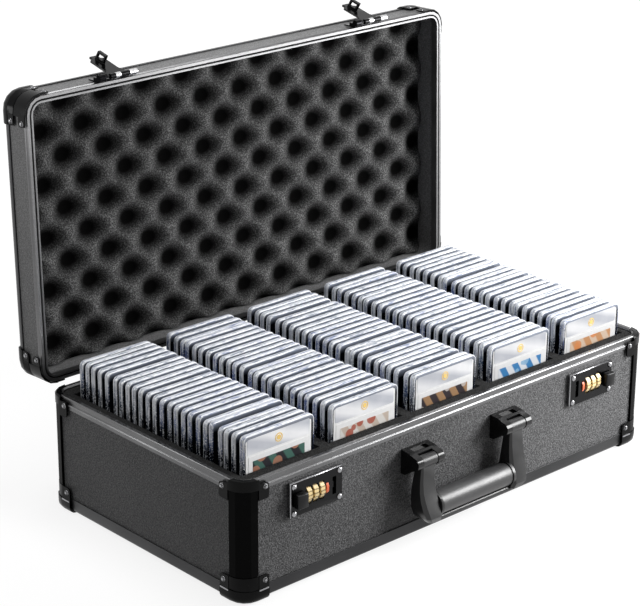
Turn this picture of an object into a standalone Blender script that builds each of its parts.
"""Graded card storage case, lid open: base, lid, foam, locks, hasps, handle and five rows of slabs.

X runs along the front, Y to the back and Z up. The origin is the centre of the bottom panel's underside.
A profile's points are (inset, height): inset is measured inwards from the extrusions' outer faces.
"""
import math
from collections import namedtuple

import bmesh
import bpy
from mathutils import Matrix, Vector

MM = 0.001
GAP = 0.3 * MM              # clearance between pieces that touch
OVERRUN = 1.0 * MM          # how far a cutter runs past what it cuts
SINK = 0.2 * MM             # how far a joined shape lies inside the faces of what it joins

QUARTER = 90.0              # degrees

# The case
CASE_WIDTH = 525.0 * MM
CASE_DEPTH = 274.0 * MM
BASE_HEIGHT = 114.0 * MM    # bottom edge of the base to its rim
LID_HEIGHT = 39.0 * MM
CORNER_RADIUS = 17.0 * MM
CORNER_STEPS = 4
METAL = 0.9 * MM            # wall of every extrusion
WALL = 4.0 * MM             # side panels
SHEET = 3.5 * MM            # bottom and top panels
FIELD_RISE = 0.2 * MM       # the bottom panel's field stands below its margin
FIELD_INSET = 15.4 * MM
FIELD_CORNER = 2.0 * MM
LID_OPEN = math.radians(91.8)

# Base rim extrusion, depths below the rim
RIM_WIDTH = 6.5 * MM
BEAD_WIDTH = 4.9 * MM
BEAD_DROP = 1.5 * MM
COVE_DEPTH = 1.0 * MM
COVE_END = 7.1 * MM
BAND_END = 10.6 * MM
WEB_DEPTH = 7.9 * MM
INNER_FLANGE_END = 12.0 * MM

# Base bottom extrusion
EDGE_FLANGE = 12.6 * MM
EDGE_SHELF = 13.0 * MM
EDGE_ROUND = 3.0 * MM

# Bottom corner caps, heights above the bottom edge
CAP_THICK = 1.3 * MM
CAP_BALL_THICK = 1.9 * MM
CAP_DROP = 3.0 * MM
CAP_BALL_TOP = 10.3 * MM
CAP_TAB_TOP = 23.0 * MM
CAP_REACH = 28.8 * MM
CAP_RIVET_REACH = 24.0 * MM
CAP_RIVET_HEIGHT = 17.8 * MM
CAP_ROUND = 7.0 * MM
CAP_SHELF = 15.0 * MM

# Rivets
RIVET_RADIUS = 2.6 * MM
RIVET_RISE = 1.3 * MM
RIVET_SHANK = 0.5 * MM
RIVET_CROWN_SHARE = 0.55
RIVET_SIDES = 8

# Corner posts
POST_PROUD = 1.0 * MM

# Rim corner brackets, depths below the rim
BRACKET_THICK = 1.3 * MM
BRACKET_SKIRT = 9.4 * MM
TURN_REACH = 18.5 * MM      # how far a corner piece runs straight past the turn
TAB_REACH = 28.6 * MM
TAB_HIGH = 4.2 * MM
TAB_LOW = 19.0 * MM
TAB_RIVET_REACH = 25.0 * MM
TAB_RIVET_DEPTH = 7.8 * MM
TAB_ROUND = 2.6 * MM
TAB_STEPS = 2

# Foam insert and slabs
POCKETS = 5
POCKET_DIVIDER = 11.3 * MM
SIDE_BORDER = 14.15 * MM
FRONT_BORDER = 18.0 * MM
BACK_BORDER = 20.0 * MM
FOAM_INSET = 6.9 * MM
FOAM_FLOOR = 3.7 * MM
FOAM_BELOW_RIM = 2.0 * MM
FOAM_CORNER = 11.0 * MM
SLAB_SIDE_CLEAR = 4.15 * MM
SLAB_HEIGHT = 136.0 * MM
SLAB_THICK = 6.35 * MM
SLAB_PITCH = 9.8 * MM       # slabs stand loosely, with air between
SLAB_END_CLEAR = 2.0 * MM
SLAB_PARTED = 33.0 * MM     # how deep the gaps between the slabs are cut

# Locks: places along X from the lock's middle, fronts measured outwards from the extrusions' faces
LOCK_FROM_END = 82.5 * MM
LOCK_BELOW_RIM = 31.0 * MM
LOCK_WIDTH = 61.2 * MM
LOCK_TALL = 33.4 * MM
LOCK_FRONT = 2.9 * MM
LOCK_SKIN = 1.0 * MM
LOCK_BOX_HALF = 27.6 * MM
LOCK_BOX_TALL = 29.4 * MM
LOCK_BOX_BACK = 15.6 * MM
LOCK_RIVET_IN = 4.0 * MM
LOCK_BEVEL = 0.8 * MM
RECESS_CLEAR = 0.6 * MM
STAPLE_OFF = -20.5 * MM
STAPLE_SLOT_WIDTH = 4.4 * MM
STAPLE_SLOT_TALL = 16.8 * MM
DIAL_RADIUS = 10.5 * MM
DIAL_NOTCH = 0.5 * MM
DIAL_DIGITS = 10
DIAL_WIDTH = 5.0 * MM
DIAL_FIRST_OFF = -5.5 * MM
DIAL_PITCH = 7.5 * MM
DIALS = 3
DIAL_PROUD = 2.9 * MM
DIAL_SLOT_CLEAR = 0.4 * MM
AXLE_RADIUS = 1.5 * MM
AXLE_SIDES = 8
PARTITION_OFF = -10.0 * MM
PARTITION = 1.3 * MM
POINTER_OFF = -12.0 * MM
POINTER_WIDTH = 2.8 * MM
POINTER_TALL = 9.4 * MM
POINTER_PROUD = 1.2 * MM
BUTTON_OFF = 21.5 * MM
BUTTON_WIDTH = 12.0 * MM
BUTTON_TALL = 13.6 * MM
BUTTON_RISE = 7.0 * MM
BUTTON_BEVEL = 1.2 * MM
STEM_OFF = 20.5 * MM
STEM_WIDTH = 4.0 * MM
STEM_TALL = 8.0 * MM
BOLT_TRAVEL = 3.5 * MM
BOLT_FRONT = 1.0 * MM
BOLT_DEEP = 3.2 * MM
BOLT_BAR = 2.0 * MM
BOLT_LIFT = 0.4 * MM
BOLT_UPRIGHT_OFF = -17.0 * MM
BOLT_UPRIGHT = 2.4 * MM
NOSE_END_OFF = -22.2 * MM
NOSE_TALL = 6.0 * MM

# Handle: heights from its pivot, or above its arms' feet
HANDLE_X = 58.0 * MM
BRACKET_WIDTH = 33.0 * MM
PIVOT_OUT = 15.5 * MM
PIVOT_BELOW_RIM = 34.0 * MM
EAR_RADIUS = 6.5 * MM
BARREL_RADIUS = 6.0 * MM
BARREL_WIDTH = 17.5 * MM
BARREL_CLEAR = 0.6 * MM
PIN_RADIUS = 2.0 * MM
HANDLE_TOP_UP = 9.5 * MM
HANDLE_FOOT_DOWN = 14.0 * MM
HANDLE_SHOULDER_OUT = 9.0 * MM
HANDLE_SHOULDER_UP = 8.6 * MM
HANDLE_HEEL_OUT = 4.0 * MM
POCKET_LONG = 19.0 * MM
POCKET_NEAR = 3.0 * MM
POCKET_FAR = 9.5 * MM
POCKET_SINK = 2.5 * MM
GRIP_OUT = 16.0 * MM
GRIP_DOWN = 46.7 * MM
GRIP_RADIUS = 11.3 * MM
GRIP_HALF = 45.6 * MM
GRIP_SIDES = 24
COLLAR_RADIUS = 12.2 * MM
COLLAR_WIDTH = 3.0 * MM
BAR_BOTTOM_DOWN = 61.6 * MM
BAR_TOP_DOWN = 58.6 * MM
BAR_BACK = 9.0 * MM
BAR_FRONT = 22.4 * MM
BAR_HALF = 57.0 * MM
SEAM_RADIUS = 1.0 * MM
ARM_CHAMFER_SHARE = 0.16
ARM_INNER = 46.4 * MM
ARM_OUTER = 70.2 * MM
ARM_BACK = 3.8 * MM
ARM_FRONT = 28.2 * MM
ARM_DOWN = 62.0 * MM
# Sections of an arm from its top down: height from foot to pivot, then inner and outer x, back and front
ARM_SECTION_SHARES = [
    (0.95, 0.13, 0.85, 0.25, 0.62),
    (0.84, 0.13, 0.86, 0.16, 0.62),
    (0.69, 0.12, 0.90, 0.10, 0.64),
    (0.53, 0.10, 0.94, 0.05, 0.70),
    (0.39, 0.05, 0.95, 0.02, 0.80),
    (0.25, 0.00, 0.92, 0.00, 0.92),
    (0.13, 0.00, 0.82, 0.03, 1.00),
    (0.04, 0.00, 0.62, 0.15, 0.90),
    (0.00, 0.04, 0.42, 0.30, 0.72),
]

# Butt hinges: the axis lies behind the back face and below the rim
HINGE_BEHIND = 4.5 * MM
HINGE_BELOW = 4.15 * MM
HINGE_FROM_END = 112.5 * MM
HINGE_KNUCKLE = 12.0 * MM
HINGE_KNUCKLES = 5
HINGE_RADIUS = 3.0 * MM
HINGE_PIN = 1.4 * MM
HINGE_LEAF = 1.5 * MM
HINGE_BASE_DROP = 34.0 * MM
HINGE_LID_RISE = 25.0 * MM
HINGE_STOP_REACH = 6.6 * MM
HINGE_SIDES = 12

# Lid: heights above its rim
LID_RIM_FACE = 0.4 * MM
LID_RIM_TOP = 4.6 * MM
LID_WEB = 3.0 * MM
LID_COVE_LOW = 1.6 * MM
LID_COVE_HIGH = 3.4 * MM
LID_BEAD_IN = 1.0 * MM
LID_BEAD_OUT = 3.6 * MM
SEAL_WIDTH = 1.2 * MM
SEAL_HEIGHT = 1.9 * MM
LID_LIP = 1.8 * MM
LID_FLANGE_END = 9.0 * MM
LID_EDGE_LOW = 29.0 * MM
LID_EDGE_ROUND = 8.0 * MM
LID_EDGE_SHELF = 13.0 * MM
LID_BAND_TOP = 31.8 * MM
LID_CAP_LOW = 28.4 * MM
LID_CAP_THICK = 1.5 * MM
LID_TAB_THICK = 1.0 * MM
LID_WEB_THICK = 0.6 * MM
LID_SEAM_LOW = 18.4 * MM
LID_SEAM_HIGH = 19.3 * MM
LID_COVER_LOW = 1.8 * MM
LID_TAB_RIVET = 23.8 * MM
LID_LOW_TAB_BOTTOM = 2.2 * MM
LID_LOW_TAB_TOP = 11.8 * MM
LID_LOW_TAB_RIVET = 6.8 * MM
LID_CAP_REACH = 28.8 * MM
LID_LOW_TAB_REACH = 27.8 * MM
LID_RIVET_REACH = 24.5 * MM

# Egg-crate foam in the lid
CRATE_INSET = 7.0 * MM
CRATE_PITCH_X = 47.75 * MM
CRATE_PITCH_Y = 51.0 * MM
CRATE_START_X = 9.35 * MM   # a hollow's middle
CRATE_START_Y = 7.9 * MM
CRATE_MEAN = 28.6 * MM
CRATE_RISE = 3.6 * MM
CRATE_SAMPLES = 4

# Hasps: fronts measured outwards, the closed arm hangs down
HASP_OUT = 4.4 * MM
HASP_BELOW = 2.5 * MM
HASP_OPEN = math.radians(165.0)
HASP_RADIUS = 2.6 * MM
HASP_PIN = 1.1 * MM
HASP_SIDES = 12
HASP_PLATE = 1.4 * MM
HASP_PLATE_LOW = 0.8 * MM
HASP_PLATE_TOP = 13.0 * MM
HASP_LEFT = 24.0 * MM
HASP_RIGHT = 19.5 * MM
HASP_SPRING_END = 17.5 * MM
HASP_SPRING_RADIUS = 3.6 * MM
HASP_LEG = 11.0 * MM
HASP_LEG_WIDTH = 5.5 * MM
HASP_KNUCKLE = 5.5 * MM
HASP_BARREL_START = 1.0 * MM
HASP_BARREL_END = 10.5 * MM
HASP_ARM = 2.0 * MM
HASP_ARM_FRONT = 4.5 * MM
HASP_ARM_HALF = 8.0 * MM
HASP_NECK = 13.0 * MM
HASP_SLOT = 5.0 * MM        # cut for the plate's middle knuckle, from the axis down
HASP_SHOULDER = 34.0 * MM
HASP_TAB_HALF = 4.0 * MM
HASP_REACH = 41.0 * MM
STAPLE_START = 24.4 * MM
STAPLE_LONG = 12.2 * MM
STAPLE_DEEP = 9.2 * MM
STAPLE_LEAN = 3.6 * MM
STAPLE_WIDTH = 3.0 * MM
STAPLE_LEG = 1.7 * MM
STAPLE_HOLE_START = 2.3 * MM
STAPLE_HOLE_END = 7.0 * MM

# Places worked out from the sizes above
EDGE_BOTTOM = -(METAL + GAP)
RIM = EDGE_BOTTOM + BASE_HEIGHT
PANEL_FACE = METAL + GAP
PANEL_INNER = PANEL_FACE + WALL
FRONT = -CASE_DEPTH / 2
BACK = CASE_DEPTH / 2
SHEET_TOP = RIM + LID_HEIGHT - METAL - GAP
POCKET_WIDTH = (CASE_WIDTH - 2 * SIDE_BORDER - (POCKETS - 1) * POCKET_DIVIDER) / POCKETS
POCKET_PITCH = POCKET_WIDTH + POCKET_DIVIDER
SLAB_WIDTH = POCKET_WIDTH - 2 * SLAB_SIDE_CLEAR
ROW_ROOM = CASE_DEPTH - FRONT_BORDER - BACK_BORDER - 2 * SLAB_END_CLEAR
SLABS_IN_ROW = int((ROW_ROOM + SLAB_PITCH - SLAB_THICK) / SLAB_PITCH)
HINGE_X = CASE_WIDTH / 2 - HINGE_FROM_END
LOCK_X = CASE_WIDTH / 2 - LOCK_FROM_END
STAPLE_X = LOCK_X + STAPLE_OFF
DIAL_FIRST_X = LOCK_X + DIAL_FIRST_OFF
PARTITION_X = LOCK_X + PARTITION_OFF
POINTER_X = LOCK_X + POINTER_OFF
BUTTON_X = LOCK_X + BUTTON_OFF
STEM_X = LOCK_X + STEM_OFF
BOLT_UPRIGHT_X = LOCK_X + BOLT_UPRIGHT_OFF
NOSE_END_X = LOCK_X + NOSE_END_OFF
LOCK_Z = RIM - LOCK_BELOW_RIM
PIVOT_Z = RIM - PIVOT_BELOW_RIM
GRIP_Z = PIVOT_Z - GRIP_DOWN
BAR_TOP = PIVOT_Z - BAR_TOP_DOWN
DIAL_OUT = LOCK_FRONT + DIAL_PROUD - DIAL_RADIUS
HINGE_Y = BACK + HINGE_BEHIND
HINGE_Z = RIM - HINGE_BELOW
HASP_Z = RIM - HASP_BELOW

# Looks: base colour, roughness, metallic
LOOKS = {
    "pebbled_panel": ((0.075, 0.075, 0.078), 0.62, 0.15),
    "dark_panel": ((0.03, 0.03, 0.032), 0.6, 0.0),
    "dark_aluminium": ((0.20, 0.20, 0.205), 0.38, 0.9),
    "lid_panel": ((0.13, 0.13, 0.135), 0.5, 0.4),
    "black_plastic": ((0.012, 0.012, 0.013), 0.35, 0.0),
    "chrome": ((0.72, 0.72, 0.73), 0.14, 1.0),
    "black_chrome": ((0.03, 0.03, 0.032), 0.16, 0.6),
    "steel": ((0.48, 0.48, 0.49), 0.3, 1.0),
    "insert_foam": ((0.04, 0.043, 0.042), 0.95, 0.0),
    "lid_foam": ((0.016, 0.016, 0.017), 0.97, 0.0),
    "black_rubber": ((0.008, 0.008, 0.008), 0.75, 0.0),
    "dial_cream": ((0.80, 0.70, 0.43), 0.4, 0.1),
    "mark_red": ((0.72, 0.15, 0.08), 0.4, 0.0),
    "handle_black": ((0.035, 0.035, 0.037), 0.3, 0.0),
    "grip_rubber": ((0.06, 0.06, 0.062), 0.38, 0.0),
    "slab_clear": ((0.86, 0.87, 0.88), 0.16, 0.0),
}

Axis = namedtuple("Axis", "empty origin")


def clear_scene():
    for old in list(bpy.data.objects):
        bpy.data.objects.remove(old, do_unlink=True)


def make_looks():
    looks = {}
    for name, (colour, roughness, metallic) in LOOKS.items():
        look = bpy.data.materials.new(name)
        look.use_nodes = True
        shader = look.node_tree.nodes["Principled BSDF"]
        shader.inputs["Base Color"].default_value = (*colour, 1.0)
        shader.inputs["Roughness"].default_value = roughness
        shader.inputs["Metallic"].default_value = metallic
        looks[name] = look
    return looks


def add_axis(name, point, angle, parent=None):
    """An empty on a joint's axis. Its pieces are drawn unturned and then turned about X."""
    empty = bpy.data.objects.new(name, None)
    bpy.context.collection.objects.link(empty)
    point = Vector(point)
    empty.location = point
    if parent:
        empty.parent = parent.empty
        empty.location = point - parent.origin
    empty.rotation_euler.x = angle
    return Axis(empty, point)


def add(name, bm, look, axis=None, origin=(0, 0, 0)):
    """Turns a mesh into an object, on its axis or with its origin at a point."""
    start = axis.origin if axis else Vector(origin)
    bmesh.ops.translate(bm, verts=bm.verts, vec=-start)
    bmesh.ops.recalc_face_normals(bm, faces=bm.faces)
    mesh = bpy.data.meshes.new(name)
    bm.to_mesh(mesh)
    bm.free()
    thing = bpy.data.objects.new(name, mesh)
    bpy.context.collection.objects.link(thing)
    if look:
        mesh.materials.append(look)
    if axis:
        thing.parent = axis.empty
    else:
        thing.location = start
    return thing


def combine(thing, operation, shapes, axis=None):
    """Adds one Boolean for each shape. The shapes stay as hidden guides beside the object."""
    for count, bm in enumerate(shapes):
        guide = add(f"{thing.name}.{operation.lower()}.{len(thing.modifiers)}.{count}", bm, None, axis)
        guide.hide_render = True
        guide.display_type = "WIRE"
        boolean = thing.modifiers.new(f"{operation.lower()}_{len(thing.modifiers)}", "BOOLEAN")
        boolean.operation = operation
        boolean.solver = "EXACT"
        boolean.object = guide
    return thing


def smooth(thing, degrees=35.0):
    thing.data.shade_smooth()
    thing.data.set_sharp_from_angle(angle=math.radians(degrees))
    return thing


def bevel(thing, width, segments=1, degrees=40.0):
    rounding = thing.modifiers.new("rounding", "BEVEL")
    rounding.width = width
    rounding.segments = segments
    rounding.limit_method = "ANGLE"
    rounding.angle_limit = math.radians(degrees)
    return thing


def arc(centre, radius, start, end, steps):
    """Points on an arc, angles in degrees from the first axis."""
    points = []
    for step in range(steps + 1):
        angle = math.radians(start + (end - start) * step / steps)
        points.append((centre[0] + radius * math.cos(angle), centre[1] + radius * math.sin(angle)))
    return points


def prism(outline, start, end, along):
    """Extrudes an outline along X, Y or Z. It holds the other two coordinates in X, Y, Z order."""
    slot = "XYZ".index(along)
    bm = bmesh.new()
    loops = []
    for level in (start, end):
        loops.append([bm.verts.new((*point[:slot], level, *point[slot:])) for point in outline])
    count = len(outline)
    for i in range(count):
        j = (i + 1) % count
        bm.faces.new((loops[0][i], loops[0][j], loops[1][j], loops[1][i]))
    bm.faces.new(loops[0][::-1])
    bm.faces.new(loops[1])
    bmesh.ops.recalc_face_normals(bm, faces=bm.faces)
    return bm


def box(x, y, z):
    """A box from three (low, high) pairs."""
    return prism([(x[0], y[0]), (x[1], y[0]), (x[1], y[1]), (x[0], y[1])], z[0], z[1], "Z")


def turned(profile, centre, direction, sides):
    """Turns a profile of (radius, distance) about a line."""
    bm = bmesh.new()
    rings = []
    for radius, distance in profile:
        ring = []
        for side in range(sides):
            angle = math.tau * (side + 0.5) / sides
            ring.append(bm.verts.new((radius * math.cos(angle), radius * math.sin(angle), distance)))
        rings.append(ring)
    for near, far in zip(rings, rings[1:]):
        for i in range(sides):
            j = (i + 1) % sides
            bm.faces.new((near[i], near[j], far[j], far[i]))
    bm.faces.new(rings[0][::-1])
    bm.faces.new(rings[-1])
    bmesh.ops.recalc_face_normals(bm, faces=bm.faces)
    turn = Vector((0, 0, 1)).rotation_difference(Vector(direction)).to_matrix().to_4x4()
    bmesh.ops.transform(bm, matrix=Matrix.Translation(centre) @ turn, verts=bm.verts)
    return bm


def rod(x_low, x_high, y, z, radius, sides):
    """A round bar along X."""
    return turned([(radius, 0), (radius, x_high - x_low)], (x_low, y, z), (1, 0, 0), sides)


def rivet(point, normal):
    """A domed rivet head whose shank sinks into what carries it."""
    profile = [
        (RIVET_RADIUS, -RIVET_SHANK),
        (RIVET_RADIUS, RIVET_RISE * RIVET_CROWN_SHARE),
        (RIVET_RADIUS * RIVET_CROWN_SHARE, RIVET_RISE),
    ]
    return turned(profile, point, normal, RIVET_SIDES)


def turn_centre(side_x, side_y):
    """The middle of a corner's round turn."""
    return Vector((side_x * (CASE_WIDTH / 2 - CORNER_RADIUS), side_y * (CASE_DEPTH / 2 - CORNER_RADIUS)))


def ring_stations():
    """Outer points and outward directions round the whole case."""
    stations = []
    for quarter, (side_x, side_y) in enumerate(((1, 1), (-1, 1), (-1, -1), (1, -1))):
        centre = turn_centre(side_x, side_y)
        for step in range(CORNER_STEPS + 1):
            angle = math.pi / 2 * (quarter + step / CORNER_STEPS)
            outward = Vector((math.cos(angle), math.sin(angle)))
            stations.append((centre + outward * CORNER_RADIUS, outward))
    return stations


def corner_stations(side_x, side_y, reach):
    """The same round one corner, out to a reach along both faces."""
    stations = []
    half_x, half_y = CASE_WIDTH / 2, CASE_DEPTH / 2
    if reach > CORNER_RADIUS:
        stations.append((Vector((side_x * half_x, side_y * (half_y - reach))), Vector((side_x, 0))))
    centre = turn_centre(side_x, side_y)
    for step in range(CORNER_STEPS + 1):
        angle = math.pi / 2 * step / CORNER_STEPS
        outward = Vector((side_x * math.cos(angle), side_y * math.sin(angle)))
        stations.append((centre + outward * CORNER_RADIUS, outward))
    if reach > CORNER_RADIUS:
        stations.append((Vector((side_x * (half_x - reach), side_y * half_y)), Vector((0, side_y))))
    return stations


def sweep(stations, profile, closed):
    """Carries a profile of (inset, z) round the stations."""
    bm = bmesh.new()
    rows = []
    for outer, outward in stations:
        row = []
        for inset, z in profile:
            place = outer - outward * inset
            row.append(bm.verts.new((place.x, place.y, z)))
        rows.append(row)
    count = len(profile)
    pairs = list(zip(rows, rows[1:]))
    if closed:
        pairs.append((rows[-1], rows[0]))
    for near, far in pairs:
        for i in range(count):
            j = (i + 1) % count
            bm.faces.new((near[i], near[j], far[j], far[i]))
    if not closed:
        bm.faces.new(rows[0])
        bm.faces.new(rows[-1][::-1])
    bmesh.ops.recalc_face_normals(bm, faces=bm.faces)
    return bm


def rounded_sheet(inset, low, high, radius):
    """A flat sheet over the case's plan, set in from the outer faces."""
    half_x, half_y = CASE_WIDTH / 2 - inset, CASE_DEPTH / 2 - inset
    outline = []
    for quarter, (side_x, side_y) in enumerate(((1, 1), (-1, 1), (-1, -1), (1, -1))):
        centre = (side_x * (half_x - radius), side_y * (half_y - radius))
        outline += arc(centre, radius, QUARTER * quarter, QUARTER * (quarter + 1), CORNER_STEPS)
    return prism(outline, low, high, "Z")


def face_point(side_x, side_y, reach, on_front, z, out):
    """A point on a corner's front or side face, at a reach from the corner."""
    if on_front:
        return (side_x * (CASE_WIDTH / 2 - reach), side_y * (CASE_DEPTH / 2 + out), z)
    return (side_x * (CASE_WIDTH / 2 + out), side_y * (CASE_DEPTH / 2 - reach), z)


def face_normal(side_x, side_y, on_front):
    return (0, side_y, 0) if on_front else (side_x, 0, 0)


def strip(low, high, thick):
    """A thin profile against the outer faces."""
    back, front = -GAP - SINK, SINK - GAP - thick
    return [(back, low), (front, low), (front, high), (back, high)]


def tab(side_x, side_y, on_front, reach, level, thick, rounded):
    """A corner's flat tab. Reach and level are (near, far) and (low, high), rounded says which ends are."""
    near, far = reach
    low, high = level
    turn = TAB_ROUND
    outline = [(near, low)]
    outline += arc((far - turn, low + turn), turn, -90, 0, TAB_STEPS) if "low" in rounded else [(far, low)]
    outline += arc((far - turn, high - turn), turn, 0, 90, TAB_STEPS) if "high" in rounded else [(far, high)]
    outline.append((near, high))
    half, side = (CASE_WIDTH / 2, side_x) if on_front else (CASE_DEPTH / 2, side_y)
    face, outward = (CASE_DEPTH / 2, side_y) if on_front else (CASE_WIDTH / 2, side_x)
    points = [(side * (half - place), z) for place, z in outline]
    back = face + GAP + SINK / 2
    return prism(points, outward * back, outward * (back + thick), "Y" if on_front else "X")


def tab_rivet(side_x, side_y, on_front, reach, z, thick):
    head = face_point(side_x, side_y, reach, on_front, z, GAP + SINK / 2 + thick)
    return rivet(head, face_normal(side_x, side_y, on_front))


def corners():
    """Names and sides of the four corners."""
    for side_y, end in ((-1, "front"), (1, "back")):
        for side_x, side in ((-1, "left"), (1, "right")):
            yield f"{end}_{side}", side_x, side_y


def base_panels(looks):
    top = RIM - WEB_DEPTH - GAP
    low = SHEET + GAP
    sheet = rounded_sheet(EDGE_ROUND, FIELD_RISE, SHEET, CORNER_RADIUS - EDGE_ROUND)
    bottom = add("base_bottom_panel", sheet, looks["dark_panel"])
    combine(bottom, "UNION", [rounded_sheet(FIELD_INSET, 0, SHEET / 2, FIELD_CORNER)])
    reach_x = CASE_WIDTH / 2 - CORNER_RADIUS - GAP
    reach_y = CASE_DEPTH / 2 - CORNER_RADIUS - GAP
    front_sheet = box((-reach_x, reach_x), (FRONT + PANEL_FACE, FRONT + PANEL_INNER), (low, top))
    front = add("base_front_panel", front_sheet, looks["pebbled_panel"])
    windows = []
    for side in (-1, 1):
        half_x = LOCK_BOX_HALF + RECESS_CLEAR
        half_z = LOCK_BOX_TALL / 2 + RECESS_CLEAR
        windows.append(box((side * LOCK_X - half_x, side * LOCK_X + half_x),
                           (FRONT, FRONT + PANEL_INNER + OVERRUN), (LOCK_Z - half_z, LOCK_Z + half_z)))
    combine(front, "DIFFERENCE", windows)
    add("base_back_panel", box((-reach_x, reach_x), (BACK - PANEL_INNER, BACK - PANEL_FACE), (low, top)),
        looks["pebbled_panel"])
    for side, name in ((-1, "left"), (1, "right")):
        x = sorted((side * (CASE_WIDTH / 2 - PANEL_FACE), side * (CASE_WIDTH / 2 - PANEL_INNER)))
        add(f"base_{name}_panel", box(x, (-reach_y, reach_y), (low, top)), looks["pebbled_panel"])


def base_rim_profile():
    """Bead, ribbed cove and flat band outside, and two flanges that hold the panels."""
    bead = [(COVE_DEPTH, RIM - BEAD_DROP), (METAL, RIM - METAL), (BEAD_DROP, RIM), (BEAD_WIDTH, RIM)]
    inside = [
        (RIM_WIDTH, RIM - BEAD_DROP),
        (RIM_WIDTH, RIM - INNER_FLANGE_END),
        (PANEL_INNER + GAP, RIM - INNER_FLANGE_END),
        (PANEL_INNER + GAP, RIM - WEB_DEPTH),
        (METAL, RIM - WEB_DEPTH),
        (METAL, RIM - BAND_END),
    ]
    band = [(0, RIM - BAND_END), (0, RIM - COVE_END), (COVE_DEPTH, RIM - COVE_END + METAL)]
    return bead + inside + band


def edge_profile():
    """The bottom extrusion: a rounded angle with a shelf under the bottom panel."""
    centre = (EDGE_ROUND, EDGE_BOTTOM + EDGE_ROUND)
    outer = arc(centre, EDGE_ROUND, 180, 270, 3)
    inner = arc(centre, EDGE_ROUND - METAL, 270, 180, 3)
    top = EDGE_BOTTOM + EDGE_FLANGE
    shelf = [(EDGE_SHELF, EDGE_BOTTOM), (EDGE_SHELF, EDGE_BOTTOM + METAL)]
    return [(METAL, top), (0, top)] + outer + shelf + inner


def base_frames(looks):
    rim = add("base_rim_frame", sweep(ring_stations(), base_rim_profile(), True), looks["dark_aluminium"])
    seats = []
    for _, side_x, side_y in corners():
        seat = [(-OVERRUN, RIM - COVE_END), (-OVERRUN, RIM + OVERRUN), (BEAD_WIDTH, RIM + OVERRUN),
                (BEAD_WIDTH, RIM - COVE_END)]
        seats.append(sweep(corner_stations(side_x, side_y, CORNER_RADIUS), seat, False))
    combine(rim, "DIFFERENCE", seats)
    smooth(rim)
    smooth(add("base_edge_frame", sweep(ring_stations(), edge_profile(), True), looks["dark_aluminium"]))


def corner_posts(looks):
    """Quarter-round posts between the two extrusions, proud between the cap and the bracket."""
    low = EDGE_BOTTOM + EDGE_FLANGE + GAP
    high = RIM - BAND_END - GAP
    step_low = EDGE_BOTTOM + CAP_TAB_TOP + GAP
    step_high = RIM - BRACKET_SKIRT - GAP
    inside = METAL / 2
    profile = [(inside, low), (inside, step_low), (-POST_PROUD, step_low), (-POST_PROUD, step_high),
               (-GAP, step_high), (-GAP, high), (PANEL_INNER, high), (PANEL_INNER, low)]
    for name, side_x, side_y in corners():
        post = sweep(corner_stations(side_x, side_y, CORNER_RADIUS), profile, False)
        smooth(add(f"corner_post_{name}", post, looks["black_plastic"]))


def bottom_cap_profile():
    """A ball corner that wraps the bottom edge, with a ledge on top."""
    ball = CAP_BALL_THICK + GAP
    bottom = EDGE_BOTTOM - CAP_DROP
    step = EDGE_BOTTOM + CAP_BALL_TOP
    outer = [(-ball, step)]
    outer += arc((CAP_ROUND - ball, bottom + CAP_ROUND), CAP_ROUND, 180, 270, 4)
    inner = [(CAP_SHELF, bottom), (CAP_SHELF, EDGE_BOTTOM - GAP)]
    inner += arc((EDGE_ROUND, EDGE_BOTTOM + EDGE_ROUND), EDGE_ROUND + GAP, 270, 180, 2)
    return outer + inner + [(-GAP, step)]


def bottom_caps(looks):
    z = EDGE_BOTTOM + CAP_RIVET_HEIGHT
    low, high = EDGE_BOTTOM + CAP_BALL_TOP - METAL, EDGE_BOTTOM + CAP_TAB_TOP
    reach = (CORNER_RADIUS + GAP, CAP_REACH - SINK)
    for name, side_x, side_y in corners():
        ball = sweep(corner_stations(side_x, side_y, CAP_REACH), bottom_cap_profile(), False)
        cap = add(f"bottom_cap_{name}", ball, looks["black_plastic"])
        band = strip(low, high - SINK, CAP_THICK - SINK)
        turn = sweep(corner_stations(side_x, side_y, TURN_REACH), band, False)
        combine(cap, "UNION", [turn])
        for on_front in (False, True):
            combine(cap, "UNION", [tab(side_x, side_y, on_front, reach, (low, high), CAP_THICK, "high"),
                                   tab_rivet(side_x, side_y, on_front, CAP_RIVET_REACH, z, CAP_THICK)])
        smooth(cap)


def rim_brackets(looks):
    """Moulded corners that fill the rim's seats, with a skirt and two riveted tabs."""
    out = BRACKET_THICK + GAP
    skirt = [(-GAP, RIM - BRACKET_SKIRT), (-out, RIM - BRACKET_SKIRT), (-out, RIM - BEAD_DROP), (-GAP, RIM),
             (-GAP, RIM - COVE_END)]
    fill = [(-METAL, RIM - COVE_END + GAP), (-METAL, RIM - METAL), (METAL, RIM), (BEAD_WIDTH - GAP, RIM),
            (BEAD_WIDTH - GAP, RIM - COVE_END + GAP)]
    reach = (CORNER_RADIUS + GAP, TAB_REACH)
    level = (RIM - TAB_LOW, RIM - TAB_HIGH)
    z = RIM - TAB_RIVET_DEPTH
    for name, side_x, side_y in corners():
        bracket = add(f"rim_bracket_{name}", sweep(corner_stations(side_x, side_y, TURN_REACH), skirt, False),
                      looks["black_plastic"])
        combine(bracket, "UNION", [seat_fill(side_x, side_y, fill, CORNER_RADIUS - GAP)])
        for on_front in (False, True):
            plate = tab(side_x, side_y, on_front, reach, level, BRACKET_THICK, "low high")
            head = tab_rivet(side_x, side_y, on_front, TAB_RIVET_REACH, z, BRACKET_THICK)
            combine(bracket, "UNION", [plate, head])
        smooth(bracket)


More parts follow.
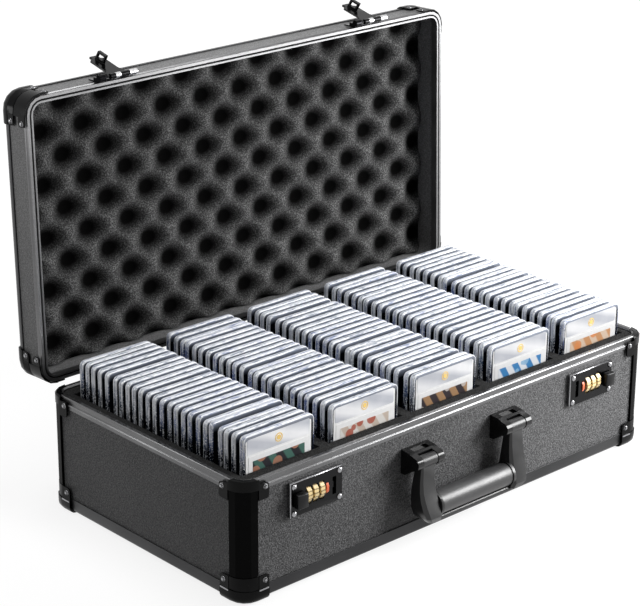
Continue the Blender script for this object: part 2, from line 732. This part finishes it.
def seat_fill(side_x, side_y, profile, reach):
    """The part of a bracket that lies in the rim's seat, a gap short of the seat's ends."""
    trim = (CORNER_RADIUS - reach) / CORNER_RADIUS
    stations = []
    centre = turn_centre(side_x, side_y)
    for step in range(CORNER_STEPS + 1):
        angle = trim + (math.pi / 2 - 2 * trim) * step / CORNER_STEPS
        outward = Vector((side_x * math.cos(angle), side_y * math.sin(angle)))
        stations.append((centre + outward * CORNER_RADIUS, outward))
    return sweep(stations, profile, False)


def pocket_centres():
    return [(count - (POCKETS - 1) / 2) * POCKET_PITCH for count in range(POCKETS)]


def foam_insert(looks):
    low = SHEET + GAP
    high = RIM - FOAM_BELOW_RIM
    foam = add("foam_insert", rounded_sheet(FOAM_INSET, low, high, FOAM_CORNER), looks["insert_foam"])
    pockets = []
    pocket_y, pocket_z = (FRONT + FRONT_BORDER, BACK - BACK_BORDER), (low + FOAM_FLOOR, high + OVERRUN)
    for x in pocket_centres():
        pockets.append(box((x - POCKET_WIDTH / 2, x + POCKET_WIDTH / 2), pocket_y, pocket_z))
    combine(foam, "DIFFERENCE", pockets)
    recesses = []
    for side in (-1, 1):
        half_x = LOCK_BOX_HALF + RECESS_CLEAR
        half_z = LOCK_BOX_TALL / 2 + RECESS_CLEAR
        deep = (FRONT, FRONT + LOCK_BOX_BACK + RECESS_CLEAR)
        recesses.append(box((side * LOCK_X - half_x, side * LOCK_X + half_x), deep,
                            (LOCK_Z - half_z, LOCK_Z + half_z)))
    combine(foam, "DIFFERENCE", recesses)


def card_rows(looks):
    """Each row is a stack of slabs parted by gaps, joined low down where the pocket hides it."""
    low = SHEET + GAP + FOAM_FLOOR + GAP
    high = low + SLAB_HEIGHT
    start = FRONT + FRONT_BORDER + SLAB_END_CLEAR
    outline = []
    for count in range(SLABS_IN_ROW):
        near = start + count * SLAB_PITCH
        far = near + SLAB_THICK
        outline += [(near, high - SLAB_PARTED), (near, high), (far, high), (far, high - SLAB_PARTED)]
    last = start + (SLABS_IN_ROW - 1) * SLAB_PITCH + SLAB_THICK
    outline = outline[1:-1] + [(last, low), (start, low)]
    for count, x in enumerate(pocket_centres()):
        row = prism(outline, x - SLAB_WIDTH / 2, x + SLAB_WIDTH / 2, "X")
        add(f"card_row_{count + 1}", row, looks["slab_clear"], origin=(x, (start + last) / 2, low))


def out(distance):
    """The Y of a point in front of the extrusions' front face."""
    return FRONT - distance


def lock_plate(name, side, looks):
    half_x, half_z = LOCK_WIDTH / 2, LOCK_TALL / 2
    centre = side * LOCK_X
    back = PANEL_FACE - GAP
    plate = add(name, box((centre - half_x, centre + half_x), (out(LOCK_FRONT), out(-back)),
                          (LOCK_Z - half_z, LOCK_Z + half_z)), looks["black_chrome"])
    bevel(plate, LOCK_BEVEL)
    box_x = (centre - LOCK_BOX_HALF, centre + LOCK_BOX_HALF)
    box_z = (LOCK_Z - LOCK_BOX_TALL / 2, LOCK_Z + LOCK_BOX_TALL / 2)
    combine(plate, "UNION", [box(box_x, (out(LOCK_FRONT - LOCK_SKIN), out(-LOCK_BOX_BACK)), box_z)])
    inner_x = (box_x[0] + LOCK_SKIN, box_x[1] - LOCK_SKIN)
    inner_z = (box_z[0] + LOCK_SKIN, box_z[1] - LOCK_SKIN)
    hollow = box(inner_x, (out(LOCK_FRONT - LOCK_SKIN), out(-LOCK_BOX_BACK - OVERRUN)), inner_z)
    combine(plate, "DIFFERENCE", [hollow])
    partition = sorted((side * PARTITION_X, side * (PARTITION_X + PARTITION)))
    wall_front = DIAL_OUT + AXLE_RADIUS
    combine(plate, "UNION", [box(partition, (out(wall_front), out(-LOCK_BOX_BACK)), box_z)])
    axle = sorted((side * PARTITION_X, side * (LOCK_X + LOCK_BOX_HALF)))
    combine(plate, "UNION", [rod(axle[0], axle[1], out(DIAL_OUT), LOCK_Z, AXLE_RADIUS, AXLE_SIDES)])
    combine(plate, "DIFFERENCE", lock_windows(side))
    heads = []
    for step_x in (-1, 1):
        for step_z in (-1, 1):
            x = centre + step_x * (half_x - LOCK_RIVET_IN)
            heads.append(rivet((x, out(LOCK_FRONT), LOCK_Z + step_z * (half_z - LOCK_RIVET_IN)), (0, -1, 0)))
    combine(plate, "UNION", heads)


def lock_windows(side):
    """The plate's openings: three dials, the red mark, the staple slot and the slide's track."""
    depth = (out(LOCK_FRONT + OVERRUN), out(LOCK_FRONT - LOCK_SKIN - OVERRUN))
    windows = []
    depth_below = DIAL_RADIUS - DIAL_PROUD - LOCK_SKIN
    half_chord = math.sqrt(DIAL_RADIUS ** 2 - depth_below ** 2) + DIAL_SLOT_CLEAR
    for count in range(DIALS):
        x = side * (DIAL_FIRST_X + count * DIAL_PITCH)
        half = DIAL_WIDTH / 2 + DIAL_SLOT_CLEAR
        windows.append(box((x - half, x + half), depth, (LOCK_Z - half_chord, LOCK_Z + half_chord)))
    mark = POINTER_WIDTH / 2 + GAP
    windows.append(box((side * POINTER_X - mark, side * POINTER_X + mark), depth,
                       (LOCK_Z - POINTER_TALL / 2 - GAP, LOCK_Z + POINTER_TALL / 2 + GAP)))
    slot = STAPLE_SLOT_WIDTH / 2
    windows.append(box((side * STAPLE_X - slot, side * STAPLE_X + slot), depth,
                       (LOCK_Z - STAPLE_SLOT_TALL / 2, LOCK_Z + STAPLE_SLOT_TALL / 2)))
    stem = STEM_WIDTH / 2 + GAP
    track = sorted((side * (STEM_X - stem), side * (STEM_X + stem + BOLT_TRAVEL)))
    windows.append(box(track, depth, (LOCK_Z - STEM_TALL / 2 - GAP, LOCK_Z + STEM_TALL / 2 + GAP)))
    return windows


def lock_dials(name, side, looks):
    outline = []
    for count in range(DIAL_DIGITS * 2):
        radius = DIAL_RADIUS - DIAL_NOTCH * (count % 2)
        angle = math.tau * (count + 0.5) / (DIAL_DIGITS * 2)
        outline.append((out(DIAL_OUT) + radius * math.cos(angle), LOCK_Z + radius * math.sin(angle)))
    for count in range(DIALS):
        x = side * (DIAL_FIRST_X + count * DIAL_PITCH)
        dial = add(f"{name}_{count + 1}", prism(outline, x - DIAL_WIDTH / 2, x + DIAL_WIDTH / 2, "X"),
                   looks["dial_cream"], origin=(x, out(DIAL_OUT), LOCK_Z))
        bore = rod(x - DIAL_WIDTH / 2 - OVERRUN, x + DIAL_WIDTH / 2 + OVERRUN, out(DIAL_OUT), LOCK_Z,
                   AXLE_RADIUS + GAP, AXLE_SIDES)
        combine(dial, "DIFFERENCE", [bore])


def lock_pointer(name, side, looks):
    """The red mark beside the dials, a small half-round bar set in the plate."""
    top = LOCK_FRONT + POINTER_PROUD
    bottom = LOCK_FRONT - LOCK_SKIN
    radius = POINTER_TALL / 2
    places = [(bottom, -radius), (bottom, radius), (LOCK_FRONT, radius), (top, radius / 2),
              (top, -radius / 2), (LOCK_FRONT, -radius)]
    outline = [(out(distance), LOCK_Z + up) for distance, up in places]
    half = POINTER_WIDTH / 2
    add(name, prism(outline, side * POINTER_X - half, side * POINTER_X + half, "X"), looks["mark_red"])


def lock_slide(name, side, looks):
    """The thumb slide with its stem, the bar under the dials and the bolt's nose."""
    face = LOCK_FRONT + GAP
    x = (side * BUTTON_X - BUTTON_WIDTH / 2, side * BUTTON_X + BUTTON_WIDTH / 2)
    start = (side * STEM_X, out(BOLT_FRONT), LOCK_Z)
    button_z = (LOCK_Z - BUTTON_TALL / 2, LOCK_Z + BUTTON_TALL / 2)
    button = box(x, (out(face + BUTTON_RISE), out(face)), button_z)
    slide = add(name, button, looks["black_chrome"], origin=start)
    bevel(slide, BUTTON_BEVEL, 2)
    back = out(BOLT_FRONT - BOLT_DEEP)
    low = LOCK_Z - LOCK_BOX_TALL / 2 + LOCK_SKIN + BOLT_LIFT
    stem_x = (side * STEM_X - STEM_WIDTH / 2, side * STEM_X + STEM_WIDTH / 2)
    stem = box(stem_x, (out(face + BUTTON_BEVEL), back), (LOCK_Z - STEM_TALL / 2, LOCK_Z + STEM_TALL / 2))
    foot = box(stem_x, (out(BOLT_FRONT), back), (low, LOCK_Z))
    bar_x = sorted((side * BOLT_UPRIGHT_X, side * (STEM_X + STEM_WIDTH / 4)))
    bar = box(bar_x, (out(BOLT_FRONT), back), (low, low + BOLT_BAR))
    upright_x = sorted((side * BOLT_UPRIGHT_X, side * (BOLT_UPRIGHT_X + BOLT_UPRIGHT)))
    upright = box(upright_x, (out(BOLT_FRONT), back), (low, LOCK_Z + NOSE_TALL / 2))
    nose_x = sorted((side * NOSE_END_X, side * (BOLT_UPRIGHT_X + BOLT_UPRIGHT / 2)))
    nose = box(nose_x, (out(BOLT_FRONT), back), (LOCK_Z - NOSE_TALL / 2, LOCK_Z + NOSE_TALL / 2))
    combine(slide, "UNION", [stem, foot, bar, upright, nose])


def locks(looks):
    for side, name in ((-1, "left"), (1, "right")):
        lock_plate(f"lock_plate_{name}", side, looks)
        lock_dials(f"lock_dial_{name}", side, looks)
        lock_pointer(f"lock_mark_{name}", side, looks)
        lock_slide(f"lock_slide_{name}", side, looks)


def handle_brackets(looks):
    pivot = (out(PIVOT_OUT), PIVOT_Z)
    back = out(-(PANEL_FACE - GAP))
    foot, top = PIVOT_Z - HANDLE_FOOT_DOWN, PIVOT_Z + HANDLE_TOP_UP
    profile = [(back, foot), (back, top), (out(HANDLE_SHOULDER_OUT), PIVOT_Z + HANDLE_SHOULDER_UP)]
    profile += arc(pivot, EAR_RADIUS, 90, 270, 8)
    profile += [(out(HANDLE_HEEL_OUT), foot)]
    for side, name in ((-1, "left"), (1, "right")):
        x = side * HANDLE_X
        block = prism(profile, x - BRACKET_WIDTH / 2, x + BRACKET_WIDTH / 2, "X")
        bracket = add(f"handle_bracket_{name}", block, looks["black_plastic"])
        half = BARREL_WIDTH / 2 + BARREL_CLEAR
        clear = BARREL_RADIUS + BARREL_CLEAR
        slot = rod(x - half, x + half, pivot[0], pivot[1], clear, HINGE_SIDES)
        front_cut = box((x - half, x + half), (pivot[0] - EAR_RADIUS - OVERRUN, pivot[0] + clear / 2),
                        (pivot[1] - EAR_RADIUS - OVERRUN, pivot[1] + EAR_RADIUS + OVERRUN))
        under = prism([(pivot[0] - OVERRUN, pivot[1]), (pivot[0] + clear, pivot[1]),
                       (out(HANDLE_HEEL_OUT - OVERRUN), foot - OVERRUN),
                       (pivot[0] - OVERRUN, foot - OVERRUN)], x - half, x + half, "X")
        pocket = box((x - POCKET_LONG / 2, x + POCKET_LONG / 2), (out(POCKET_FAR), out(POCKET_NEAR)),
                     (top - POCKET_SINK, top + OVERRUN))
        combine(bracket, "DIFFERENCE", [slot, front_cut, under, pocket])
        pin = rod(x - half - OVERRUN, x + half + OVERRUN, pivot[0], pivot[1], PIN_RADIUS, HINGE_SIDES)
        combine(bracket, "UNION", [pin])
        smooth(bracket)


def arm_loft(side):
    """One arm of the handle, lofted through chamfered sections."""
    bm = bmesh.new()
    rings = []
    for height, start, end, rear, fore in ARM_SECTION_SHARES:
        z = PIVOT_Z - ARM_DOWN * (1 - height)
        inner = ARM_INNER + start * (ARM_OUTER - ARM_INNER)
        outer = ARM_INNER + end * (ARM_OUTER - ARM_INNER)
        back = ARM_BACK + rear * (ARM_FRONT - ARM_BACK)
        front = ARM_BACK + fore * (ARM_FRONT - ARM_BACK)
        cut = ARM_CHAMFER_SHARE * min(outer - inner, front - back)
        low, high = sorted((side * inner, side * outer))
        near, far = out(front), out(back)
        corners_xy = [(low + cut, near), (high - cut, near), (high, near + cut), (high, far - cut),
                      (high - cut, far), (low + cut, far), (low, far - cut), (low, near + cut)]
        rings.append([bm.verts.new((x, y, z)) for x, y in corners_xy])
    for near, far in zip(rings, rings[1:]):
        for i in range(len(near)):
            j = (i + 1) % len(near)
            bm.faces.new((near[i], near[j], far[j], far[i]))
    bm.faces.new(rings[0])
    bm.faces.new(rings[-1][::-1])
    bmesh.ops.recalc_face_normals(bm, faces=bm.faces)
    return bm


def handle(looks):
    pivot = Vector((0, out(PIVOT_OUT), PIVOT_Z))
    axis = add_axis("handle_axis", pivot, 0)
    z = PIVOT_Z - BAR_BOTTOM_DOWN, BAR_TOP
    bar = box((-BAR_HALF, BAR_HALF), (out(BAR_FRONT), out(BAR_BACK)), z)
    frame = add("handle_frame", bar, looks["handle_black"], axis)
    for side in (-1, 1):
        x = side * HANDLE_X
        barrel = rod(x - BARREL_WIDTH / 2, x + BARREL_WIDTH / 2, pivot.y, pivot.z, BARREL_RADIUS, HINGE_SIDES)
        collar = sorted((side * (GRIP_HALF + GAP), side * (GRIP_HALF + GAP + COLLAR_WIDTH)))
        ring = rod(collar[0], collar[1], out(GRIP_OUT), GRIP_Z, COLLAR_RADIUS, GRIP_SIDES)
        combine(frame, "UNION", [arm_loft(side), barrel, ring], axis)
    seam = rod(-GRIP_HALF, GRIP_HALF, out(BAR_FRONT - SEAM_RADIUS), BAR_TOP, SEAM_RADIUS, 6)
    combine(frame, "UNION", [seam], axis)
    bores = []
    for side in (-1, 1):
        x = side * HANDLE_X
        bores.append(rod(x - BARREL_WIDTH / 2 - OVERRUN, x + BARREL_WIDTH / 2 + OVERRUN, pivot.y, pivot.z,
                         PIN_RADIUS + GAP, HINGE_SIDES))
    combine(frame, "DIFFERENCE", bores, axis)
    smooth(frame)
    roll = rod(-GRIP_HALF, GRIP_HALF, out(GRIP_OUT), GRIP_Z, GRIP_RADIUS, GRIP_SIDES)
    grip = add("handle_grip", roll, looks["grip_rubber"], axis)
    flat = BAR_TOP + SEAM_RADIUS + GAP
    under = box((-GRIP_HALF - OVERRUN, GRIP_HALF + OVERRUN),
                (out(GRIP_OUT + 2 * GRIP_RADIUS), out(-GRIP_RADIUS)), (flat - GRIP_RADIUS, flat))
    combine(grip, "DIFFERENCE", [under], axis)
    smooth(grip)


def knuckle_spans(own):
    """X ranges of the base leaf's knuckles (own 0) or the lid leaf's (own 1), from the hinge's left end."""
    spans = []
    for count in range(own, HINGE_KNUCKLES, 2):
        trim = GAP / 2
        low = count * HINGE_KNUCKLE + (trim if count > 0 else 0)
        high = (count + 1) * HINGE_KNUCKLE - (trim if count < HINGE_KNUCKLES - 1 else 0)
        spans.append((low, high))
    return spans


def knuckle_profile(upwards):
    """A knuckle and its neck. The neck runs down to the base leaf or up to the lid leaf."""
    neck = HINGE_RADIUS + 2 * GAP
    inner = BACK + GAP
    outline = arc((HINGE_Y, 0), HINGE_RADIUS, -90, 180, 9)
    outline += [(inner, -HINGE_LEAF / 2), (inner, -neck - HINGE_LEAF),
                (inner + HINGE_LEAF, -neck - HINGE_LEAF), (inner + HINGE_LEAF, -HINGE_RADIUS)]
    flip = -1 if upwards else 1
    return [(y, HINGE_Z + flip * z) for y, z in outline]


def stop_lug():
    """The lid leaf's lug: with the lid open it lies a gap behind the base leaf."""
    near = GAP + HINGE_LEAF + GAP - HINGE_BEHIND
    opened = [(near, -HINGE_RADIUS / 2), (near, -HINGE_STOP_REACH), (near + HINGE_LEAF, -HINGE_STOP_REACH),
              (HINGE_PIN, -HINGE_RADIUS / 2)]
    turn, lift = math.cos(LID_OPEN), math.sin(LID_OPEN)
    return [(HINGE_Y + y * turn - z * lift, HINGE_Z + y * lift + z * turn) for y, z in opened]


def hinges(looks, lid):
    length = HINGE_KNUCKLES * HINGE_KNUCKLE
    neck = HINGE_RADIUS + 2 * GAP
    y = (BACK + GAP, BACK + GAP + HINGE_LEAF)
    for side, name in ((-1, "left"), (1, "right")):
        start = side * HINGE_X - length / 2
        plate = box((start, start + length), y, (HINGE_Z - HINGE_BASE_DROP, HINGE_Z - neck))
        leaf = add(f"base_hinge_{name}", plate, looks["steel"])
        for low, high in knuckle_spans(0):
            combine(leaf, "UNION", [prism(knuckle_profile(False), start + low, start + high, "X")])
        combine(leaf, "UNION", [rod(start + OVERRUN, start + length - OVERRUN, HINGE_Y, HINGE_Z, HINGE_PIN,
                                    HINGE_SIDES)])
        smooth(leaf)
        upper = box((start, start + length), y, (HINGE_Z + neck, RIM + HINGE_LID_RISE))
        lid_leaf = add(f"lid_hinge_{name}", upper, looks["steel"], lid)
        for low, high in knuckle_spans(1):
            combine(lid_leaf, "UNION", [prism(knuckle_profile(True), start + low, start + high, "X"),
                                        prism(stop_lug(), start + low, start + high, "X")], lid)
        bore = rod(start - OVERRUN, start + length + OVERRUN, HINGE_Y, HINGE_Z, HINGE_PIN + GAP, HINGE_SIDES)
        combine(lid_leaf, "DIFFERENCE", [bore], lid)
        smooth(lid_leaf)


def lid_rim_profile():
    """The lid's rim: cove outside, bead, seal groove and inner lip on the face, a flange inside."""
    face = RIM + LID_RIM_FACE
    web = RIM + LID_WEB
    groove_end = LID_BEAD_OUT + SEAL_WIDTH + 2 * GAP
    lip_end = groove_end + LID_LIP
    return [
        (METAL, RIM + LID_RIM_TOP), (0, RIM + LID_RIM_TOP), (0, RIM + LID_COVE_HIGH),
        (METAL, RIM + LID_COVE_HIGH - METAL), (METAL, RIM + LID_COVE_LOW), (LID_BEAD_IN, face),
        (LID_BEAD_OUT, face), (LID_BEAD_OUT, web), (groove_end, web), (groove_end, face), (lip_end, face),
        (lip_end, web + METAL), (PANEL_INNER + GAP + METAL, web + METAL),
        (PANEL_INNER + GAP + METAL, RIM + LID_FLANGE_END), (PANEL_INNER + GAP, RIM + LID_FLANGE_END),
        (PANEL_INNER + GAP, web + METAL), (METAL, web + METAL),
    ]


def lid_edge_profile():
    """The lid's outer extrusion, rounded over to the top."""
    top = RIM + LID_HEIGHT
    centre = (LID_EDGE_ROUND, top - LID_EDGE_ROUND)
    outer = arc(centre, LID_EDGE_ROUND, 180, 90, 5)
    inner = arc(centre, LID_EDGE_ROUND - METAL, 90, 180, 5)
    low = RIM + LID_EDGE_LOW
    return [(METAL, low), (0, low)] + outer + [(LID_EDGE_SHELF, top), (LID_EDGE_SHELF, top - METAL)] + inner


def lid_shell(looks, lid):
    for name, profile in (("lid_rim_frame", lid_rim_profile()), ("lid_edge_frame", lid_edge_profile())):
        smooth(add(name, sweep(ring_stations(), profile, True), looks["dark_aluminium"], lid))
    low = RIM + LID_WEB + METAL + GAP
    band = [(PANEL_FACE, low), (PANEL_FACE, RIM + LID_BAND_TOP), (PANEL_INNER, RIM + LID_BAND_TOP),
            (PANEL_INNER, low)]
    smooth(add("lid_side_band", sweep(ring_stations(), band, True), looks["lid_panel"], lid))
    inset = LID_EDGE_ROUND - GAP
    add("lid_top_panel", rounded_sheet(inset, SHEET_TOP - SHEET, SHEET_TOP, CORNER_RADIUS - inset),
        looks["lid_panel"], lid)
    start = LID_BEAD_OUT + GAP
    high = RIM + LID_WEB - GAP
    seal = [(start, high), (start, high - SEAL_HEIGHT), (start + SEAL_WIDTH, high - SEAL_HEIGHT),
            (start + SEAL_WIDTH, high)]
    smooth(add("lid_seal", sweep(ring_stations(), seal, True), looks["black_rubber"], lid))


def lid_cap_profile():
    """The ball cap over the lid's outer edge."""
    top = RIM + LID_HEIGHT
    centre = (LID_EDGE_ROUND, top - LID_EDGE_ROUND)
    outer_radius = LID_EDGE_ROUND + LID_CAP_THICK + GAP
    outer = arc(centre, outer_radius, 180, 90, 5)
    inner = arc(centre, LID_EDGE_ROUND + GAP, 90, 180, 4)
    shelf = [(CAP_SHELF, top + LID_CAP_THICK + GAP), (CAP_SHELF, top + GAP)]
    low = RIM + LID_CAP_LOW
    return [(-LID_CAP_THICK - GAP, low)] + outer + shelf + inner + [(-GAP, low)]


def lid_corners(looks, lid):
    """A ball cap and a rim cover at each corner, parted by a seam, with two riveted tabs on each face."""
    thick = LID_CAP_THICK
    overlap = METAL
    start = CORNER_RADIUS + GAP
    high_reach, low_reach = (start, LID_CAP_REACH - SINK), (start, LID_LOW_TAB_REACH)
    high_level = (RIM + LID_SEAM_HIGH + SINK, RIM + LID_CAP_LOW + overlap - SINK)
    low_level = (RIM + LID_LOW_TAB_BOTTOM, RIM + LID_LOW_TAB_TOP)
    cover = strip(RIM + LID_COVER_LOW, RIM + LID_SEAM_LOW, thick)
    turn = strip(RIM + LID_SEAM_HIGH, RIM + LID_CAP_LOW + overlap, thick)
    web = -GAP - LID_WEB_THICK
    seamed = cover[:3] + [(web, RIM + LID_SEAM_LOW), (web, RIM + LID_SEAM_HIGH)] + turn[1:]
    for name, side_x, side_y in corners():
        ball = sweep(corner_stations(side_x, side_y, LID_CAP_REACH), lid_cap_profile(), False)
        cap = add(f"lid_corner_{name}", ball, looks["black_plastic"], lid)
        shapes = [sweep(corner_stations(side_x, side_y, TURN_REACH), seamed, False)]
        for on_front in (False, True):
            shapes += [tab(side_x, side_y, on_front, high_reach, high_level, LID_TAB_THICK, "low"),
                       tab(side_x, side_y, on_front, low_reach, low_level, LID_TAB_THICK, "low high")]
            for z in (RIM + LID_TAB_RIVET, RIM + LID_LOW_TAB_RIVET):
                shapes.append(tab_rivet(side_x, side_y, on_front, LID_RIVET_REACH, z, LID_TAB_THICK))
        combine(cap, "UNION", shapes, lid)
        smooth(cap)


def crate_height(x, y):
    """Height above the lid's rim of the egg-crate foam's face, from two crossed waves."""
    along_x = math.cos(math.tau * (x - CRATE_START_X) / CRATE_PITCH_X)
    along_y = math.cos(math.tau * (y - CRATE_START_Y) / CRATE_PITCH_Y)
    return CRATE_MEAN + CRATE_RISE * along_x * along_y


def round_off(x, y):
    """Pulls a point of the foam back inside the lid's round corner."""
    reach = CORNER_RADIUS - PANEL_INNER - 2 * GAP
    past = Vector((abs(x) - CASE_WIDTH / 2 + CORNER_RADIUS, abs(y) - CASE_DEPTH / 2 + CORNER_RADIUS))
    if min(past) <= 0 or past.length <= reach:
        return x, y
    pull = past * (1 - reach / past.length)
    return x - math.copysign(pull.x, x), y - math.copysign(pull.y, y)


def crate_cell(bm, near, far, flip):
    """Two triangles whose shared edge runs through the cell's peak or valley."""
    if flip:
        near, far = far, near
    bm.faces.new((near[0], near[1], far[1]))
    bm.faces.new((near[0], far[1], far[0]))


def lid_foam(looks, lid):
    """Egg-crate foam: a flat back, straight sides and a waved face."""
    half_x = CASE_WIDTH / 2 - CRATE_INSET
    half_y = CASE_DEPTH / 2 - CRATE_INSET
    first_column, columns = wave_stops(half_x, CRATE_PITCH_X, CRATE_START_X)
    first_row, rows = wave_stops(half_y, CRATE_PITCH_Y, CRATE_START_Y)
    back = SHEET_TOP - SHEET - GAP
    bm = bmesh.new()
    face = []
    for y in rows:
        places = [round_off(x, y) for x in columns]
        face.append([bm.verts.new((px, py, RIM + crate_height(px, py))) for px, py in places])
    for row, (near, far) in enumerate(zip(face, face[1:])):
        for i in range(len(columns) - 1):
            crate_cell(bm, near[i:i + 2], far[i:i + 2], (first_column + i + first_row + row) % 2)
    edge = face[0] + [row[-1] for row in face[1:]] + face[-1][-2::-1] + [row[0] for row in face[-2:0:-1]]
    foot = [bm.verts.new((vert.co.x, vert.co.y, back)) for vert in edge]
    for i in range(len(edge)):
        j = (i + 1) % len(edge)
        bm.faces.new((edge[i], edge[j], foot[j], foot[i]))
    bm.faces.new(foot)
    foam = add("lid_foam", bm, looks["lid_foam"], lid)
    smooth(foam, 80.0)


def wave_stops(half, pitch, start):
    """Evenly spaced stops of a wave across a span, with the span's own ends, and the first stop's number."""
    step = pitch / CRATE_SAMPLES
    margin = half - step / 4
    first = math.ceil((-margin - start) / step)
    last = math.floor((margin - start) / step)
    return first, [-half] + [start + step * index for index in range(first, last + 1)] + [half]


def hasp_plate(name, x, looks, lid):
    """The hinge plate on the lid's front wall: two knuckles, a pin and a spring housing."""
    wall = out(GAP)
    plate = add(name, box((x - HASP_LEFT, x + HASP_RIGHT), (out(GAP + HASP_PLATE), wall),
                          (RIM + HASP_PLATE_LOW, RIM + HASP_PLATE_TOP)), looks["chrome"], lid)
    barrel_y = out(HASP_OUT)
    spans = [(-HASP_LEG + HASP_LEG_WIDTH + GAP, HASP_BARREL_START - GAP), (HASP_BARREL_END + GAP, HASP_RIGHT)]
    shapes = []
    for low, high in spans:
        shapes.append(rod(x + low, x + high, barrel_y, HASP_Z, HASP_RADIUS, HASP_SIDES))
        neck = [(wall, RIM - METAL), (wall, RIM + HASP_KNUCKLE), (out(GAP + HASP_PLATE), RIM + HASP_KNUCKLE),
                (barrel_y + GAP, HASP_Z + HASP_RADIUS - GAP), (barrel_y, HASP_Z),
                (barrel_y + HASP_RADIUS - METAL, HASP_Z - HASP_RADIUS / 2)]
        shapes.append(prism(neck, x + low, x + high, "X"))
    housing = rod(x - HASP_LEFT, x - HASP_SPRING_END, barrel_y, HASP_Z, HASP_SPRING_RADIUS, HASP_SIDES)
    housing_foot = box((x - HASP_LEFT, x - HASP_SPRING_END), (out(HASP_OUT), wall),
                       (HASP_Z, RIM + HASP_KNUCKLE))
    shapes += [housing, housing_foot]
    shapes.append(rod(x - HASP_LEFT + OVERRUN, x + HASP_RIGHT - OVERRUN, barrel_y, HASP_Z, HASP_PIN,
                      HASP_SIDES))
    combine(plate, "UNION", shapes, lid)
    smooth(plate)


def hasp_arm(name, x, looks, axis):
    """The swinging arm, drawn closed: it hangs from its barrels and its staple points at the lock."""
    near, far = out(HASP_ARM_FRONT + HASP_ARM), out(HASP_ARM_FRONT)
    top = HASP_Z - HASP_PIN - GAP
    outline = [
        (x - HASP_LEG, top), (x + HASP_BARREL_END, top), (x + HASP_BARREL_END, HASP_Z - HASP_NECK / 2),
        (x + HASP_ARM_HALF, HASP_Z - HASP_NECK), (x + HASP_ARM_HALF, HASP_Z - HASP_SHOULDER),
        (x + HASP_TAB_HALF, HASP_Z - HASP_SHOULDER - HASP_ARM), (x + HASP_TAB_HALF, HASP_Z - HASP_REACH),
        (x - HASP_TAB_HALF, HASP_Z - HASP_REACH), (x - HASP_TAB_HALF, HASP_Z - HASP_SHOULDER - HASP_ARM),
        (x - HASP_ARM_HALF, HASP_Z - HASP_SHOULDER), (x - HASP_ARM_HALF, HASP_Z - HASP_NECK),
        (x - HASP_LEG, HASP_Z - HASP_NECK / 2),
    ]
    arm = add(name, prism(outline, near, far, "Y"), looks["steel"], axis)
    spans = [(-HASP_LEG, -HASP_LEG + HASP_LEG_WIDTH), (HASP_BARREL_START, HASP_BARREL_END)]
    combine(arm, "UNION", [rod(x + low, x + high, out(HASP_OUT), HASP_Z, HASP_RADIUS, HASP_SIDES)
                           for low, high in spans], axis)
    half = STAPLE_WIDTH / 2
    root = far - HASP_ARM / 2
    staple = [(root, HASP_Z - STAPLE_START), (root, HASP_Z - STAPLE_START - STAPLE_LONG)]
    staple += [(far + STAPLE_DEEP, HASP_Z - STAPLE_START - STAPLE_LONG + STAPLE_LEAN),
               (far + STAPLE_DEEP, HASP_Z - STAPLE_START + STAPLE_LEAN)]
    combine(arm, "UNION", [prism(staple, x - half, x + half, "X")], axis)
    slope = STAPLE_LEAN / STAPLE_DEEP
    hole_high, hole_low = HASP_Z - STAPLE_START - STAPLE_LEG, HASP_Z - STAPLE_START - STAPLE_LONG + STAPLE_LEG
    hole = [(far + depth, level + slope * depth) for depth, level in (
        (STAPLE_HOLE_START, hole_high), (STAPLE_HOLE_START, hole_low),
        (STAPLE_HOLE_END, hole_low), (STAPLE_HOLE_END, hole_high))]
    gap_low = x - HASP_LEG + HASP_LEG_WIDTH
    slot = box((gap_low, x + HASP_BARREL_START), (near - OVERRUN, far + OVERRUN),
               (HASP_Z - HASP_SLOT, HASP_Z + HASP_RADIUS))
    bore = rod(x - HASP_LEFT, x + HASP_RIGHT, out(HASP_OUT), HASP_Z, HASP_PIN + GAP, HASP_SIDES)
    combine(arm, "DIFFERENCE", [prism(hole, x - half - OVERRUN, x + half + OVERRUN, "X"), slot, bore], axis)
    smooth(arm)


def hasps(looks, lid):
    for side, name in ((-1, "left"), (1, "right")):
        x = side * STAPLE_X
        hasp_plate(f"hasp_plate_{name}", x, looks, lid)
        axis = add_axis(f"hasp_axis_{name}", (x, out(HASP_OUT), HASP_Z), -HASP_OPEN, lid)
        hasp_arm(f"hasp_arm_{name}", x, looks, axis)


def main():
    clear_scene()
    looks = make_looks()
    base_panels(looks)
    base_frames(looks)
    corner_posts(looks)
    bottom_caps(looks)
    rim_brackets(looks)
    foam_insert(looks)
    card_rows(looks)
    locks(looks)
    handle_brackets(looks)
    handle(looks)
    lid = add_axis("lid_axis", (0, HINGE_Y, HINGE_Z), -LID_OPEN)
    hinges(looks, lid)
    lid_shell(looks, lid)
    lid_corners(looks, lid)
    lid_foam(looks, lid)
    hasps(looks, lid)


main()
